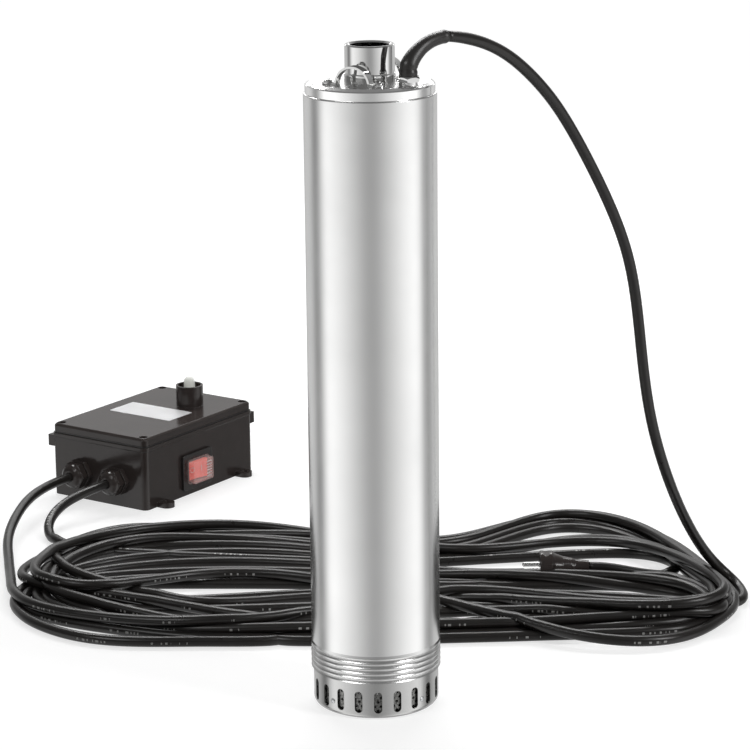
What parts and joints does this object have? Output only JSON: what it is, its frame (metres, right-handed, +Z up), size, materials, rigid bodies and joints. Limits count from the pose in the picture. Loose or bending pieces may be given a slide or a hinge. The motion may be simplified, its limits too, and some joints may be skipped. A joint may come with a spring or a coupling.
{
  "type": "borehole submersible pump",
  "caption": "Slim stainless borehole pump with slotted foot strainer, threaded outlet and lifting straps, wired by a coiled rubber cable to a control box with rocker switch and reset button.",
  "frame": {"origin": "pump axis on the underside of the suction strainer, which stands on Z = 0", "axes": "+Z up along the pump axis to the threaded outlet; X and Y along the width and the length of the control box"},
  "size_m": [0.9499, 0.6675, 0.671],
  "materials": {
    "satin_stainless": "satin rolled stainless sheet",
    "polished_stainless": "mirror polished stainless",
    "black_rubber": "soft matt rubber",
    "cable_rubber": "smooth rubber sheath",
    "dark_resin": "glass filled resin",
    "brass": "cast and turned",
    "bronze": "turned bronze",
    "machined_steel": "turned and ground",
    "seal_ceramic": "lapped ceramic",
    "seal_carbon": "lapped carbon",
    "cast_iron": "machined casting and laminations",
    "copper_winding": "varnished copper wire",
    "box_plastic": "moulded satin plastic",
    "switch_plastic": "smooth moulded plastic",
    "red_rocker": "translucent red plastic",
    "clear_cover": "clear moulded cover",
    "pale_plastic": "moulded plastic",
    "white_boot": "translucent silicone",
    "capacitor_can": "drawn can"
  },
  "bodies": {
    "root": {"outer_sleeve": "satin_stainless", "suction_strainer": "satin_stainless", "strainer_screen": "satin_stainless", "strainer_rivets": "satin_stainless", "motor_can": "satin_stainless", "discharge_head": "polished_stainless", "outlet_socket": "polished_stainless", "lifting_strap_front": "polished_stainless", "lifting_strap_rear": "polished_stainless", "strap_screws": "polished_stainless", "cable_gland": "polished_stainless", "plug_pins": "polished_stainless", "cable_grommet": "black_rubber", "cable_boot": "black_rubber", "head_o_ring": "black_rubber", "lid_gasket": "black_rubber", "inner_lead": "cable_rubber", "pump_cable": "cable_rubber", "cable_coil": "cable_rubber", "box_cable": "cable_rubber", "mains_lead": "cable_rubber", "suction_plate": "dark_resin", "stage_bowls": "dark_resin", "diffuser_1": "dark_resin", "diffuser_2": "dark_resin", "diffuser_3": "dark_resin", "motor_flange": "dark_resin", "motor_cap": "dark_resin", "bottom_bush": "bronze", "bearing_outer_rings": "machined_steel", "lid_screws": "machined_steel", "seal_seat": "seal_ceramic", "lower_bracket": "cast_iron", "upper_bracket": "cast_iron", "stator_core": "cast_iron", "stator_windings": "copper_winding", "box_base": "box_plastic", "box_lid": "box_plastic", "box_glands": "box_plastic", "box_gland_nuts": "box_plastic", "plug_body": "box_plastic", "switch_frame": "switch_plastic", "breaker_body": "switch_plastic", "switch_cover": "clear_cover", "terminal_block": "pale_plastic", "reset_boot": "white_boot", "start_capacitor": "capacitor_can"},
    "rotor": {"impeller_1": "brass", "impeller_2": "brass", "impeller_3": "brass", "impeller_4": "brass", "shaft_spacers": "machined_steel", "shaft_nut": "machined_steel", "pump_shaft": "machined_steel", "seal_ring": "seal_carbon", "bearing_inner_rings": "machined_steel", "rotor_core": "cast_iron"},
    "ball_sets": {"bearing_balls": "machined_steel"},
    "rocker": {"switch_rocker": "red_rocker"},
    "reset_button": {"reset_plunger": "pale_plastic"}
  },
  "joints": [
    {"name": "rotor_spin", "type": "hinge", "parent": "root", "child": "rotor", "pos_m": [0, 0, 0.3], "axis": [0, 0, 1], "continuous": true},
    {"name": "ball_spin", "type": "hinge", "parent": "root", "child": "ball_sets", "pos_m": [0, 0, 0.3], "axis": [0, 0, 1], "continuous": true},
    {"name": "rocker_tilt", "type": "hinge", "parent": "root", "child": "rocker", "pos_m": [-0.5975, 0.475, 0.03], "axis": [0, 0, 1], "range_deg": [0, 18]},
    {"name": "reset_press", "type": "slide", "parent": "root", "child": "reset_button", "axis": [0, 0, -1], "range_m": [0, 0.0025], "stiffness_N_per_m": 400, "deforming": ["reset_boot"]}
  ],
  "couplings": [
    {"joint": "ball_spin", "follows": "rotor_spin", "ratio": 0.384}
  ]
}
